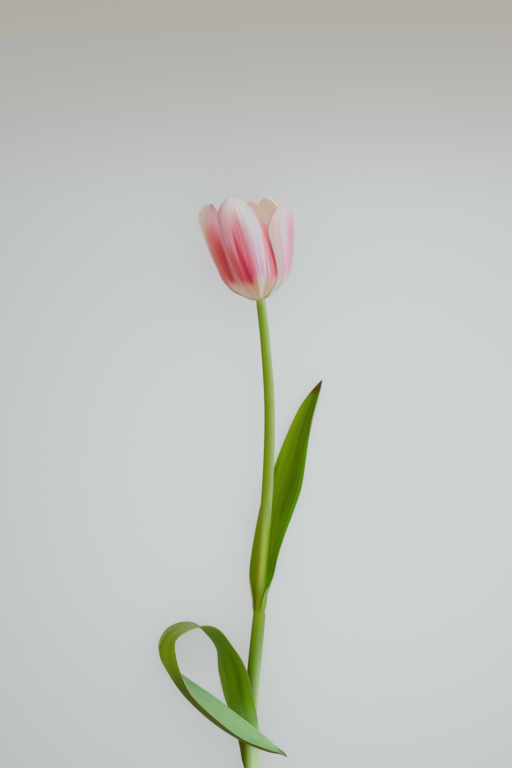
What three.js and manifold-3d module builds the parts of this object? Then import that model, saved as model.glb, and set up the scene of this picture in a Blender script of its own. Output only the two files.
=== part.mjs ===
// A cut tulip lying on a table: its stem, two leaves that clasp it, six petals in two rings of three,
// and the pistil and six stamens inside the bloom. Millimetres, +Z up. The bloom points along +Y, the
// flower rests on z = 0, and the origin lies on the table under the middle of its box.

import * as THREE from 'three';
import ManifoldLibrary from 'manifold-3d';
import { mergeVertices } from 'three/addons/utils/BufferGeometryUtils.js';

// ---- Driving dimensions (millimetres and degrees) ----

// The stem's middle line from the cut end to the bloom, with its diameter: [x, y, z, diameter].
const STEM = [
  [7.9, -185.7, 3.9, 7.8],
  [6.8, -156.5, 6.0, 7.8],
  [6.6, -151.0, 6.4, 6.2],
  [6.6, -128.0, 8.1, 6.9],
  [6.8, -108.0, 9.4, 7.5],
  [11.0, -61.5, 12.7, 7.7],
  [11.5, -56.5, 13.1, 5.8],
  [12.6, -38.0, 14.4, 6.2],
  [14.7, -7.2, 16.5, 6.5],
  [17.0, 31.2, 19.2, 6.3],
  [17.4, 64.3, 21.4, 6.0],
  [15.0, 100.8, 23.7, 5.6],
  [12.3, 125.4, 25.0, 5.4],
];
const STEM_SIDES = 16;
const STEM_STEPS = 60;

// The bloom: an egg-shaped cup on a leaning axis.
const BLOOM_BASE = new THREE.Vector3(12.3, 125.4, 25.0);
const BLOOM_LEAN = 10.3; // towards -X
const BLOOM_RISE = 2; // away from the table
const BLOOM_RADIUS = 26.9;
const BLOOM_HEIGHT = 60;
const RIM_BEND_FROM = 46; // height above which the rim bends inwards
const RIM_BEND = 3.6;
const RIM_BEND_OVER = 16;
const BELLY = 0.7; // extra fullness low on the cup, greatest at half of BELLY_OVER
const BELLY_OVER = 24;

const PETAL_THICKNESS = 0.8;
const PETAL_ROOT_RADIUS = 3.2;
const PETAL_TIP_WIDTH = 0.03; // left at the very tip, as a share of the full width
const FULL_WIDTH_FROM = 0.8; // the share of its length over which a petal widens from its root
const MIDRIB_DEPTH = 0.35; // of the groove along a petal's middle line
const MIDRIB_WIDTH = 0.16; // as a share of half the petal's width
const MARGIN_WAVE = 0.3;
const FLARE_POWER = 6; // a higher one keeps the flare nearer to the tip

// A petal's angles go round the bloom's axis: 0 faces up, 90 faces +X. Its ring is how far it stands
// outside the cup's own surface. Each side has its half angle at the root, its full half angle, the
// share of the length above which it narrows to the tip, and how much wider it is at mid-length.
// Bulge and blunt are how it narrows: more bulge keeps it wide for longer, and less blunt ends it in
// a rounder tip. Flare is how far its left side leaves the cup at the tip, and waves and phase set
// the waves along its margins.
const PETALS = {
  petal_front: {
    ring: 0.7, height: 60, rootAngle: -10, angle: -16, left: [18, 22, 0.88, 2], right: [29, 31, 0.74, 0],
    bulge: 2.4, blunt: 0.5, flare: 0, waves: 1.5, phase: 0.4,
  },
  petal_right: {
    ring: 0.7, height: 55.3, rootAngle: 98, angle: 67, left: [47, 51, 0.76, -4], right: [48, 52, 0.72, 0],
    bulge: 2.4, blunt: 1, flare: 0, waves: 2, phase: 2.1,
  },
  petal_back: {
    ring: 0.3, height: 57, rootAngle: -130, angle: -160, left: [50, 44, 0.6, 0], right: [32, 60, 0.5, 0],
    bulge: 2, blunt: 0.8, flare: 0, waves: 2, phase: 1.2,
  },
  petal_left: {
    ring: -1.3, height: 58, rootAngle: -62, angle: -49, left: [44, 51, 0.82, 0], right: [44, 26, 0.62, 0],
    bulge: 2.6, blunt: 0.6, flare: 3, waves: 2, phase: 0.2,
  },
  petal_front_right: {
    ring: -1.3, height: 55.4, rootAngle: 25, angle: 7.5, left: [20, 20, 0.7, 0], right: [58, 28, 0.74, 0],
    bulge: 2, blunt: 0.6, flare: 0, waves: 1.5, phase: 2.6,
  },
  petal_back_inner: {
    ring: -1.3, height: 58.3, rootAngle: 170, angle: 147, left: [44, 46, 0.5, 0], right: [44, 44, 0.4, 0],
    bulge: 2, blunt: 0.65, flare: 0, waves: 2.5, phase: 0.9,
  },
};
const PETAL_COLS = 12;
const PETAL_ROWS = 16;
const ROW_CROWDING = 1.6; // more than 1 sets the rows closer together towards the tip

// Inside the bloom, heights along its axis.
const RECEPTACLE_TOP = 2.8;
const RECEPTACLE_DIAMETER = 4.6;
const DISC_BOTTOM = 3.1;
const DISC_TOP = 4.0;
const DISC_RADIUS = 3.3;
const DISC_SIDES = 18;
const STAMENS = 6;
const FILAMENT_ROOT_RADIUS = 2.5;
const FILAMENT_TOP_RADIUS = 6.0;
const FILAMENT_TOP = 13;
const FILAMENT_RADII = [0.7, 0.5]; // from its root up
const ANTHER_LENGTH = 9.5;
const ANTHER_RADII = [0.7, 1.2, 1.15, 0.6]; // from its lower end up
const ANTHER_LEAN = 0.6; // how much further out its upper end is
const STAMEN_SIDES = 7;
const PISTIL_BOTTOM = 4.3;
const OVARY_TOP = 19;
const STIGMA_TOP = 22.5;
const PISTIL_SIDES = 18;
const OVARY_ROWS = 5; // the first of the radii; the others are the stigma's
const PISTIL_RADII = [1.5, 2.0, 2.5, 2.6, 2.3, 1.9, 3.4, 3.9, 2.0]; // from its foot to its top
const PISTIL_LOBE = 0.22; // how far its three lobes stand out, as a share of the radius

// A leaf is a strip along a middle line. At each station: how far along the leaf it is, the point
// [x, y, z], half the width, the angle that the inner face turns from level towards up, the half
// angle that the two sides open (90 is flat), and how far each side curls on towards that face.
const LEAF_THICKNESS = 0.8;
const LEAF_COLS = 10;
const LOWER_LEAF = [
  [0, 3.6, -149.0, 9.5, 9.5, 45, 90, -130],
  [0.063, 2.2, -135.8, 11.6, 11.3, 46, 90, -110],
  [0.126, 0.1, -122.3, 12.0, 11.7, 48, 90, -80],
  [0.193, -2.6, -107.8, 12.0, 11.3, 52, 90, -42],
  [0.268, -5.1, -91.4, 12.0, 11.8, 46, 90, -15],
  [0.331, -9.9, -78.2, 12.6, 13.5, 24, 97, 0],
  [0.386, -17.3, -67.9, 13.2, 13.6, 18, 94, 0],
  [0.443, -28.8, -64.6, 13.4, 13.1, -6, 90, 0],
  [0.499, -41.1, -68.8, 13.3, 13.0, -19, 81, 0],
  [0.548, -46.5, -79.7, 13.7, 13.3, -25, 68, 0],
  [0.611, -40.7, -93.0, 13.6, 13.6, -7, 65, 0],
  [0.686, -31.2, -106.1, 14.5, 14.0, 10, 59, 0],
  [0.788, -14.6, -120.8, 17.5, 13.3, 22, 49, 0],
  [0.881, 2.6, -131.2, 20.0, 11.0, 30, 46, 0],
  [0.951, 16.9, -136.4, 21.2, 6.1, 32, 46, 0],
  [1, 27.0, -138.5, 21.0, 0.6, 30, 60, 0],
];
const LOWER_LEAF_STEPS = 48;
const UPPER_LEAF = [
  [0, 11.6, -55.6, 9.0, 11.8, 90, 90, 165],
  [0.038, 11.7, -49.7, 9.0, 9.2, 90, 90, 120],
  [0.08, 11.9, -43.9, 8.0, 9.4, 90, 90, 100],
  [0.13, 12.5, -37.1, 6.2, 10.2, 90, 88, 80],
  [0.224, 14.5, -24.3, 4.4, 9.2, 90, 84, 45],
  [0.327, 17.8, -10.3, 3.1, 9.6, 90, 78, 20],
  [0.431, 21.9, 3.7, 1.8, 10.6, 90, 72, 5],
  [0.537, 26.8, 17.7, 0.8, 10.6, 90, 67, 0],
  [0.64, 30.5, 31.8, 0.5, 9.2, 90, 66, 0],
  [0.744, 34.4, 45.9, 0.6, 7.3, 88, 65, 0],
  [0.85, 39.3, 60.1, 2.0, 5.5, 87, 63, 0],
  [0.923, 43.6, 69.5, 4.0, 3.5, 86, 63, 0],
  [1, 48.2, 78.8, 7.0, 0.6, 85, 70, 0],
];
const UPPER_LEAF_STEPS = 34;

// ---- Small helpers ----

const RADIANS = Math.PI / 180;
const STEP = 1e-3; // the share of a length over which a direction is taken
const NEARLY_NONE = 1e-6; // stands in for a curl of none, which would divide by zero
const MERGE_WITHIN = 1e-4; // millimetres

// The value of one column of a station list at q, on a smooth curve through all stations.
function along(stations, column, q) {
  const last = stations.length - 1;
  let i = 0;
  while (i < last - 1 && q > stations[i + 1][0]) i += 1;
  const slope = (k) => {
    const before = stations[Math.max(k - 1, 0)];
    const after = stations[Math.min(k + 1, last)];
    return (after[column] - before[column]) / (after[0] - before[0]);
  };
  const [start, end] = [stations[i], stations[i + 1]];
  const span = end[0] - start[0];
  const f = (q - start[0]) / span;
  const rise = end[column] - start[column];
  const bow = (1 - f) * (slope(i) * span - rise) - f * (slope(i + 1) * span - rise);
  return start[column] + f * rise + f * (1 - f) * bow;
}

// The normal of surface(u, t) at one place, by small steps to both sides.
function normalAt(surface, u, t) {
  const across = surface(Math.min(u + STEP, 1), t).sub(surface(Math.max(u - STEP, -1), t));
  const onward = surface(u, Math.min(t + STEP, 1)).sub(surface(u, Math.max(t - STEP, 0)));
  return across.cross(onward).normalize();
}

// A thin blade: a grid over surface(u, t), u from -1 to 1 and t from 0 to 1, thickened to both sides.
// Both faces are split along the same diagonals. What would dip under the table lies flat on it.
function blade(surface, thickness, cols, rows) {
  const sheet = new THREE.PlaneGeometry(2, 1, cols, rows);
  const places = sheet.attributes.position;
  const faces = Array.from(sheet.index.array);
  const count = places.count;
  const points = [];
  for (const side of [0.5, -0.5]) {
    for (let i = 0; i < count; i += 1) {
      const u = places.getX(i);
      const t = places.getY(i) + 0.5;
      const point = surface(u, t).addScaledVector(normalAt(surface, u, t), side * thickness);
      points.push(point.x, point.y, Math.max(point.z, 0));
    }
  }
  const triangles = [...faces];
  for (let i = 0; i < faces.length; i += 3) {
    triangles.push(faces[i + 2] + count, faces[i + 1] + count, faces[i] + count);
  }
  const rim = [];
  for (let c = 0; c < cols; c += 1) rim.push(c);
  for (let r = 0; r < rows; r += 1) rim.push(r * (cols + 1) + cols);
  for (let c = cols; c > 0; c -= 1) rim.push(rows * (cols + 1) + c);
  for (let r = rows; r > 0; r -= 1) rim.push(r * (cols + 1));
  rim.forEach((a, k) => {
    const b = rim[(k + 1) % rim.length];
    triangles.push(a, b, b + count, a, b + count, a + count);
  });
  const geometry = new THREE.BufferGeometry();
  geometry.setAttribute('position', new THREE.Float32BufferAttribute(points, 3));
  geometry.setIndex(triangles);
  return geometry;
}

function named(name, geometry, color, roughness) {
  const material = new THREE.MeshStandardMaterial({ color, roughness, metalness: 0 });
  const mesh = new THREE.Mesh(geometry, material);
  mesh.name = name;
  return mesh;
}

// ---- The bloom's own directions ----

const axis = new THREE.Vector3(
  -Math.sin(BLOOM_LEAN * RADIANS) * Math.cos(BLOOM_RISE * RADIANS),
  Math.cos(BLOOM_LEAN * RADIANS) * Math.cos(BLOOM_RISE * RADIANS),
  Math.sin(BLOOM_RISE * RADIANS),
);
const front = new THREE.Vector3(0, 0, 1).addScaledVector(axis, -axis.z).normalize();
const right = new THREE.Vector3().crossVectors(axis, front);

// A point at a height along the bloom's axis, a radius from it and an angle round it.
function inBloom(height, radius, angle) {
  return BLOOM_BASE.clone()
    .addScaledVector(axis, height)
    .addScaledVector(right, radius * Math.sin(angle))
    .addScaledVector(front, radius * Math.cos(angle));
}

// ---- Stem ----

function stem() {
  const [[, startY], [, endY]] = [STEM[0], STEM[STEM.length - 1]];
  const stations = STEM.map((row) => [(row[1] - startY) / (endY - startY), ...row]);
  const point = (q) => new THREE.Vector3(along(stations, 1, q), along(stations, 2, q), along(stations, 3, q));
  const geometry = new THREE.CylinderGeometry(1, 1, 1, STEM_SIDES, STEM_STEPS);
  const places = geometry.attributes.position;
  const neck = 1 - 2 / STEM_STEPS; // above this row the stem turns into the receptacle
  for (let i = 0; i < places.count; i += 1) {
    const row = places.getY(i) + 0.5;
    const q = Math.min(row / neck, 1);
    const centre = point(q);
    const next = Math.min(q + STEP, 1);
    const onward = point(next).sub(point(next - 2 * STEP)).normalize();
    let radius = along(stations, 4, q) / 2;
    if (row > neck) {
      centre.addScaledVector(axis, (RECEPTACLE_TOP * (row - neck)) / (1 - neck));
      onward.copy(axis);
      radius = RECEPTACLE_DIAMETER / 2;
    }
    const up = new THREE.Vector3(0, 0, 1).addScaledVector(onward, -onward.z).normalize();
    const side = new THREE.Vector3().crossVectors(onward, up);
    centre.addScaledVector(side, radius * places.getX(i)).addScaledVector(up, radius * places.getZ(i));
    places.setXYZ(i, centre.x, centre.y, Math.max(centre.z, 0));
  }
  return named('stem', geometry, '#8aa04e', 0.55);
}

// ---- Petals ----

// The cup's radius at a height, and the direction in which its layers lie on each other.
function cup(height) {
  const v = Math.sqrt(Math.max(height, 0) / BLOOM_HEIGHT);
  const bend = Math.max(0, (height - RIM_BEND_FROM) / RIM_BEND_OVER);
  const belly = BELLY * Math.sin(Math.PI * Math.min(height / BELLY_OVER, 1)) ** 2;
  const outward = 2 * BLOOM_HEIGHT * v;
  const down = BLOOM_RADIUS * (Math.PI / 2) * Math.max(0, Math.cos((v * Math.PI) / 2));
  const length = Math.hypot(outward, down);
  return {
    radius: BLOOM_RADIUS * Math.sin((v * Math.PI) / 2) + belly - RIM_BEND * bend * bend,
    outward: outward / length,
    down: down / length,
  };
}

function petalSurface(petal) {
  const rootShare = (2 / Math.PI) * Math.asin(PETAL_ROOT_RADIUS / BLOOM_RADIUS);
  return (u, t) => {
    const row = 1 - (1 - t) ** ROW_CROWDING;
    const v = rootShare + (1 - rootShare) * row;
    const middle = petal.rootAngle + (petal.angle - petal.rootAngle) * row;
    const [rootHalf, fullHalf, shoulder, swell] = u < 0 ? petal.left : petal.right;
    const past = Math.max(0, (row - shoulder) / (1 - shoulder));
    const narrowed = (1 - Math.min(past, 1) ** petal.bulge) ** petal.blunt;
    const widest = rootHalf + (fullHalf - rootHalf) * Math.min(1, row / FULL_WIDTH_FROM);
    const width = PETAL_TIP_WIDTH + (1 - PETAL_TIP_WIDTH) * narrowed;
    const half = (widest + swell * Math.sin(Math.PI * row) ** 2) * width;
    const height = petal.height * v * v;
    const { radius, outward, down } = cup(height);
    const groove = -MIDRIB_DEPTH * Math.exp(-((u / MIDRIB_WIDTH) ** 2)) * Math.sin(Math.PI * row);
    const wave = MARGIN_WAVE * u * u * row * Math.sin(Math.PI * petal.waves * row + petal.phase);
    const flare = u < 0 ? petal.flare * u * u * row ** FLARE_POWER : 0;
    const layer = petal.ring + groove + wave + flare;
    return inBloom(height - layer * down, radius + layer * outward, (middle + u * half) * RADIANS);
  };
}

function petals() {
  return Object.entries(PETALS).map(([name, petal]) => (
    named(name, blade(petalSurface(petal), PETAL_THICKNESS, PETAL_COLS, PETAL_ROWS), '#dfa3ae', 0.5)
  ));
}

// ---- Pistil and stamens ----

function pistil() {
  const rows = PISTIL_RADII.length - 1;
  const geometry = new THREE.CylinderGeometry(1, 1, 1, PISTIL_SIDES, rows);
  const places = geometry.attributes.position;
  const heights = PISTIL_RADII.map((_, k) => (k <= OVARY_ROWS
    ? PISTIL_BOTTOM + ((OVARY_TOP - PISTIL_BOTTOM) * k) / OVARY_ROWS
    : OVARY_TOP + ((STIGMA_TOP - OVARY_TOP) * (k - OVARY_ROWS)) / (rows - OVARY_ROWS)));
  for (let i = 0; i < places.count; i += 1) {
    const k = Math.round((places.getY(i) + 0.5) * rows);
    const angle = Math.atan2(places.getX(i), places.getZ(i));
    const onAxis = Math.hypot(places.getX(i), places.getZ(i)) < 0.5;
    const radius = onAxis ? 0 : PISTIL_RADII[k] * (1 + PISTIL_LOBE * Math.cos(3 * angle));
    const point = inBloom(heights[k], radius, angle);
    places.setXYZ(i, point.x, point.y, point.z);
  }
  return named('pistil', geometry, '#b9c78a', 0.5);
}

const library = await ManifoldLibrary();
library.setup();
const { Manifold, Mesh } = library;

function solid(geometry) {
  const bare = geometry.clone();
  bare.deleteAttribute('normal');
  bare.deleteAttribute('uv');
  const merged = mergeVertices(bare, MERGE_WITHIN);
  return new Manifold(new Mesh({
    numProp: 3,
    vertProperties: new Float32Array(merged.attributes.position.array),
    triVerts: new Uint32Array(merged.index.array),
  }));
}

// A round rod between two points, thickest where its profile is, with closed ends.
function rod(from, to, radii, sides) {
  const length = from.distanceTo(to);
  const profile = radii.map((radius, k) => new THREE.Vector2(radius, (length * k) / (radii.length - 1)));
  const geometry = new THREE.LatheGeometry(
    [new THREE.Vector2(0, 0), ...profile, new THREE.Vector2(0, length)],
    sides,
  );
  const direction = to.clone().sub(from).normalize();
  geometry.applyQuaternion(new THREE.Quaternion().setFromUnitVectors(new THREE.Vector3(0, 1, 0), direction));
  return geometry.translate(from.x, from.y, from.z);
}

function stamens() {
  const ends = [inBloom(DISC_BOTTOM, 0, 0), inBloom(DISC_TOP, 0, 0)];
  const disc = rod(...ends, [DISC_RADIUS, DISC_RADIUS], DISC_SIDES);
  let joined = solid(disc);
  for (let k = 0; k < STAMENS; k += 1) {
    const angle = ((k + 0.5) * 2 * Math.PI) / STAMENS;
    const root = inBloom((DISC_BOTTOM + DISC_TOP) / 2, FILAMENT_ROOT_RADIUS, angle);
    const top = inBloom(FILAMENT_TOP, FILAMENT_TOP_RADIUS, angle);
    const start = inBloom(FILAMENT_TOP - 1, FILAMENT_TOP_RADIUS, angle);
    const end = inBloom(FILAMENT_TOP - 1 + ANTHER_LENGTH, FILAMENT_TOP_RADIUS + ANTHER_LEAN, angle);
    joined = joined.add(solid(rod(root, top, FILAMENT_RADII, STAMEN_SIDES)));
    joined = joined.add(solid(rod(start, end, ANTHER_RADII, STAMEN_SIDES)));
  }
  const mesh = joined.getMesh();
  const geometry = new THREE.BufferGeometry();
  geometry.setAttribute('position', new THREE.BufferAttribute(mesh.vertProperties, 3));
  geometry.setIndex(new THREE.BufferAttribute(mesh.triVerts, 1));
  return named('stamens', geometry, '#c8b46a', 0.7);
}

// ---- Leaves ----

function leafSurface(stations) {
  const point = (q) => new THREE.Vector3(along(stations, 1, q), along(stations, 2, q), along(stations, 3, q));
  return (u, t) => {
    const onward = point(Math.min(t + STEP, 1)).sub(point(Math.max(t - STEP, 0))).normalize();
    const level = new THREE.Vector3(-onward.y, onward.x, 0).normalize();
    const up = new THREE.Vector3().crossVectors(onward, level);
    const side = u < 0 ? -1 : 1;
    const [half, turn, open, curl] = [4, 5, 6, 7].map((column) => along(stations, column, t));
    const start = (turn + side * open) * RADIANS;
    const curled = -side * curl * RADIANS || NEARLY_NONE;
    const end = start + curled * Math.abs(u);
    return point(t)
      .addScaledVector(level, (half * (Math.sin(end) - Math.sin(start))) / curled)
      .addScaledVector(up, (half * (Math.cos(start) - Math.cos(end))) / curled);
  };
}

function leaf(name, stations, steps, color) {
  return named(name, blade(leafSurface(stations), LEAF_THICKNESS, LEAF_COLS, steps), color, 0.6);
}

// ---- The flower ----

const group = new THREE.Group();
group.add(stem());
group.add(leaf('leaf_lower', LOWER_LEAF, LOWER_LEAF_STEPS, '#7f9160'));
group.add(leaf('leaf_upper', UPPER_LEAF, UPPER_LEAF_STEPS, '#86994f'));
group.add(...petals());
group.add(pistil());
group.add(stamens());

export default group;
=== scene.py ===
import math
import bmesh
import bpy
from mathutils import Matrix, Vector


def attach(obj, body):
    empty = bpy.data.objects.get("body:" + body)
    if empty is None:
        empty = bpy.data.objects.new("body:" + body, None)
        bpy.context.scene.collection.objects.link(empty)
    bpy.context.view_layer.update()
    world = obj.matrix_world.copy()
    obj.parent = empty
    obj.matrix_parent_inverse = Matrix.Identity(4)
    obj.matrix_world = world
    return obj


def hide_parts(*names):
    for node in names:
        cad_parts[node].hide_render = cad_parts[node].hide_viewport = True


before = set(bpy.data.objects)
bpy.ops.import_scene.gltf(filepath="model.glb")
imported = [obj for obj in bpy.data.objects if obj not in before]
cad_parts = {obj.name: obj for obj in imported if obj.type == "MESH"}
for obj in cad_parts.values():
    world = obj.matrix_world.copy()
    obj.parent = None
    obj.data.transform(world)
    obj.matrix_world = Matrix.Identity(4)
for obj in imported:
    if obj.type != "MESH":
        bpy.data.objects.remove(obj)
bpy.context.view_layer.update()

# ---- Camera ----
# It stands 1.5 m above the table and looks straight down on the flower, with the bloom at the top of
# its picture.

scene = bpy.context.scene
scene.view_settings.view_transform = "Standard"
lens = bpy.data.cameras.new("camera")
lens.sensor_fit = "VERTICAL"
lens.sensor_height = 24
lens.lens = 79.74
camera = bpy.data.objects.new("camera", lens)
camera.location = (0.0096, 0.0765, 1.5)
scene.collection.objects.link(camera)
scene.camera = camera

# Shapes are laid out in millimetres, and the scene is in metres.
MILLIMETRE = 0.001
# Points this close together, in metres, are one point.
SAME_PLACE = 0.000002

# ---- Stem ----
# A fleshy green stalk with fine ribs along it and a bloom of pale wax, with a painted highlight in the wax on
# its right side and painted shade on its left. It was cut straight across with a knife, and its top widens
# into the seat that carries the petals.

# The middle line from the cut end up, in millimetres, with the diameter: [x, y, z, diameter].
STEM = [
    [7.9, -185.7, 3.9, 7.8],
    [6.7, -154.0, 6.2, 7.8],
    [6.6, -149.0, 6.5, 6.2],
    [6.6, -128.0, 8.1, 6.9],
    [6.8, -108.0, 9.4, 7.5],
    [11.4, -58.8, 12.9, 7.2],
    [11.3, -54.2, 13.3, 5.2],
    [12.3, -38.0, 14.4, 5.6],
    [14.7, -7.2, 16.5, 6.5],
    [17.0, 31.2, 19.2, 6.3],
    [17.4, 64.3, 21.4, 6.0],
    [15.0, 100.8, 23.7, 5.6],
    [12.3, 125.4, 25.0, 5.4],
]
STEM_FOOT = STEM[0][1]
STEM_LENGTH = STEM[-1][1] - STEM_FOOT
STEM_STATIONS = [[(row[1] - STEM_FOOT) / STEM_LENGTH, *row] for row in STEM]
# The seat of the petals: [share of its height, radius].
SEAT = [[0, 2.7], [0.1, 3.05], [0.3, 3.2], [0.6, 3.1], [0.85, 2.7], [1, 2.2]]
SEAT_HEIGHT = 4.0
SEAT_FROM = 0.965
STEM_RIBS = 9
STEM_RIB_HEIGHT = 0.03
CUT_RIM_WIDTH = 0.3
# The share of a length over which a direction is taken.
STEP = 0.001
BLOOM_FOOT = Vector(STEM[-1][:3])
BLOOM_LEAN = math.radians(10.3)
BLOOM_RISE = math.radians(2)
BLOOM_AXIS = Vector((
    -math.sin(BLOOM_LEAN) * math.cos(BLOOM_RISE),
    math.cos(BLOOM_LEAN) * math.cos(BLOOM_RISE),
    math.sin(BLOOM_RISE),
))


def along(stations, column, q):
    """The value of one column of a station list at q, on a smooth curve through all stations."""
    last = len(stations) - 1
    i = 0
    while i < last - 1 and q > stations[i + 1][0]:
        i += 1
    slopes = []
    for k in (i, i + 1):
        before = stations[max(k - 1, 0)]
        after = stations[min(k + 1, last)]
        slopes.append((after[column] - before[column]) / (after[0] - before[0]))
    start = stations[i]
    end = stations[i + 1]
    span = end[0] - start[0]
    f = (q - start[0]) / span
    rise = end[column] - start[column]
    bow = (1 - f) * (slopes[0] * span - rise) - f * (slopes[1] * span - rise)
    return start[column] + f * rise + f * (1 - f) * bow


def middle_line(stations, q):
    return Vector([along(stations, column, q) for column in (1, 2, 3)])


def eased(low, high, value):
    """0 below low and 1 above high, with a soft run between them."""
    f = min(max((value - low) / (high - low), 0), 1)
    return f * f * (3 - 2 * f)


def lay_grid(bm, columns, rows, place):
    """A grid whose point u across (-1 to 1) and t along (0 to 1) lies at place(u, t), in millimetres."""
    made = bmesh.ops.create_grid(bm, x_segments=columns, y_segments=rows, size=1, calc_uvs=True)
    for vert in made["verts"]:
        vert.co = place(vert.co.x, (vert.co.y + 1) / 2) * MILLIMETRE


def new_sheet():
    bm = bmesh.new()
    bm.loops.layers.uv.new("grain")
    return bm


def closed(bm):
    """Merges seams and poles and turns all faces outwards."""
    bmesh.ops.remove_doubles(bm, verts=bm.verts, dist=SAME_PLACE)
    bmesh.ops.recalc_face_normals(bm, faces=bm.faces)


def flower_piece(name, bm, finishes, nodes):
    """Makes the mesh a piece of the flower, in its finishes, that stands for the CAD nodes."""
    for face in bm.faces:
        face.smooth = True
    mesh = bpy.data.meshes.new(name)
    bm.to_mesh(mesh)
    bm.free()
    for finish in finishes:
        mesh.materials.append(finish)
    made = bpy.data.objects.new(name, mesh)
    scene.collection.objects.link(made)
    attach(made, "root")
    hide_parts(*nodes)
    return made


def refined(made, levels):
    finer = made.modifiers.new("finer", "SUBSURF")
    finer.levels = levels
    finer.render_levels = levels


class Tone:
    """A socket of a finish. Sums with it add Math nodes, and node() adds any other node."""

    def __init__(self, tree, socket=None):
        self.tree = tree
        self.socket = socket

    def node(self, kind, settings, sockets, output=0):
        made = self.tree.nodes.new(kind)
        for name, value in settings.items():
            if name == "stops":
                stops = made.color_ramp.elements
                while len(stops) < len(value):
                    stops.new(1)
                for stop, (position, colour) in zip(stops, value):
                    stop.position = position
                    stop.color = colour
            else:
                setattr(made, name, value)
        for name, value in sockets.items():
            if isinstance(value, Tone):
                self.tree.links.new(value.socket, made.inputs[name])
            else:
                made.inputs[name].default_value = value
        return Tone(self.tree, made.outputs[output] if made.outputs else None)

    def sum(self, operation, first, second=0.0):
        return self.node("ShaderNodeMath", {"operation": operation}, {0: first, 1: second})

    def __add__(self, other):
        return self.sum("ADD", self, other)

    def __radd__(self, other):
        return self.sum("ADD", other, self)

    def __sub__(self, other):
        return self.sum("SUBTRACT", self, other)

    def __rsub__(self, other):
        return self.sum("SUBTRACT", other, self)

    def __mul__(self, other):
        return self.sum("MULTIPLY", self, other)

    def __rmul__(self, other):
        return self.sum("MULTIPLY", other, self)

    def __truediv__(self, other):
        return self.sum("DIVIDE", self, other)

    def __pow__(self, other):
        return self.sum("POWER", self, other)

    def __abs__(self):
        return self.sum("ABSOLUTE", self)

    def rising(self, low, high):
        """0 at low and 1 at high, with a soft run between them."""
        return self.node(
            "ShaderNodeMapRange",
            {"interpolation_type": "SMOOTHSTEP"},
            {"Value": self, "From Min": low, "From Max": high},
        )

    def over(self, under, colour):
        """The colour laid over the one under it, as thick as this value."""
        return self.node("ShaderNodeMix", {"data_type": "RGBA"}, {0: self, 6: under, 7: colour}, 2)

    def streaks(self, across, onward, scale_across, scale_onward, seed, detail=3.0):
        """Soft noise drawn out along the piece, from 0 to 1."""
        place = self.node(
            "ShaderNodeCombineXYZ",
            {},
            {"X": across * scale_across, "Y": onward * scale_onward, "Z": float(seed)},
        )
        return self.node("ShaderNodeTexNoise", {}, {"Vector": place, "Scale": 1.0, "Detail": detail})


def dye(red, green, blue):
    """A colour given by its three display values, 0 to 255."""
    shares = [part / 255 for part in (red, green, blue)]
    return [share / 12.92 if share <= 0.04045 else ((share + 0.055) / 1.055) ** 2.4 for share in shares] + [1]


def new_finish(name):
    """An empty finish, and the places across and along the piece, both 0 to 1, on which it is laid."""
    finish = bpy.data.materials.new(name)
    finish.use_nodes = True
    finish.node_tree.nodes.clear()
    start = Tone(finish.node_tree)
    grain = start.node("ShaderNodeUVMap", {"uv_map": "grain"}, {})
    across = start.node("ShaderNodeSeparateXYZ", {}, {0: grain}, 0)
    onward = start.node("ShaderNodeSeparateXYZ", {}, {0: grain}, 1)
    return finish, start, across, onward


def stem_point(u, t):
    angle = math.pi * u
    q = min(t / SEAT_FROM, 1)
    centre = middle_line(STEM_STATIONS, q)
    after = min(q + STEP, 1)
    onward = middle_line(STEM_STATIONS, after) - middle_line(STEM_STATIONS, after - 2 * STEP)
    onward.normalize()
    radius = along(STEM_STATIONS, 4, q) / 2
    if t > SEAT_FROM:
        share = (t - SEAT_FROM) / (1 - SEAT_FROM)
        centre = centre + BLOOM_AXIS * SEAT_HEIGHT * share
        onward = BLOOM_AXIS
        radius = along(SEAT, 1, share)
    up = Vector((0, 0, 1))
    up = (up - onward * onward.z).normalized()
    side = onward.cross(up)
    ribs = STEM_RIB_HEIGHT * math.cos(STEM_RIBS * angle) * eased(0, 0.05, 1 - t)
    point = centre + (side * math.sin(angle) + up * math.cos(angle)) * (radius + ribs)
    point.z = max(point.z, 0)
    return point


stem_mesh = new_sheet()
lay_grid(stem_mesh, 36, 300, stem_point)
closed(stem_mesh)
rims = [edge for edge in stem_mesh.edges if edge.is_boundary]
ends = bmesh.ops.holes_fill(stem_mesh, edges=rims, sides=0)["faces"]
for face in ends:
    face.material_index = 1
bmesh.ops.inset_individual(stem_mesh, faces=ends, thickness=CUT_RIM_WIDTH * MILLIMETRE, depth=0.0)
bmesh.ops.recalc_face_normals(stem_mesh, faces=stem_mesh.faces)

stem_finish, start, around, up_stem = new_finish("stem skin")
turn = around * 2 - 1
mottle = start.streaks(turn, up_stem, 2.0, 26.0, 3)
bands = start.streaks(turn, up_stem, 3.0, 150.0, 4)
ribs = start.streaks(turn, up_stem, 26.0, 18.0, 5)
wax_along = start.node(
    "ShaderNodeValToRGB",
    {
        "stops": [
            (0.0, [1, 1, 1, 1]),
            (0.15, [1, 1, 1, 1]),
            (0.28, [0.85, 0.85, 0.85, 1]),
            (0.37, [0.4, 0.4, 0.4, 1]),
            (0.43, [0.15, 0.15, 0.15, 1]),
            (0.48, [0.65, 0.65, 0.65, 1]),
            (0.76, [0.8, 0.8, 0.8, 1]),
            (0.84, [0.75, 0.75, 0.75, 1]),
            (0.94, [1, 1, 1, 1]),
        ],
    },
    {"Fac": up_stem},
)
sheathed = up_stem.rising(0.42, 0.46) * up_stem.rising(0.62, 0.52)
# Painted highlight: the wax is paler on the right side of the stem, where the light falls.
open_wax_and_highlight = turn.rising(-0.14, 0.48) * turn.rising(0.9, 0.5) * (1 - sheathed)
clasped_wax = turn.rising(-0.2, -0.04) * turn.rising(0.28, 0.1) * sheathed * 0.8
wax = (open_wax_and_highlight + clasped_wax) * (0.62 + 0.3 * mottle + 0.3 * bands) * wax_along
colour = mottle.over(dye(112, 134, 0), dye(128, 150, 8))
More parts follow.
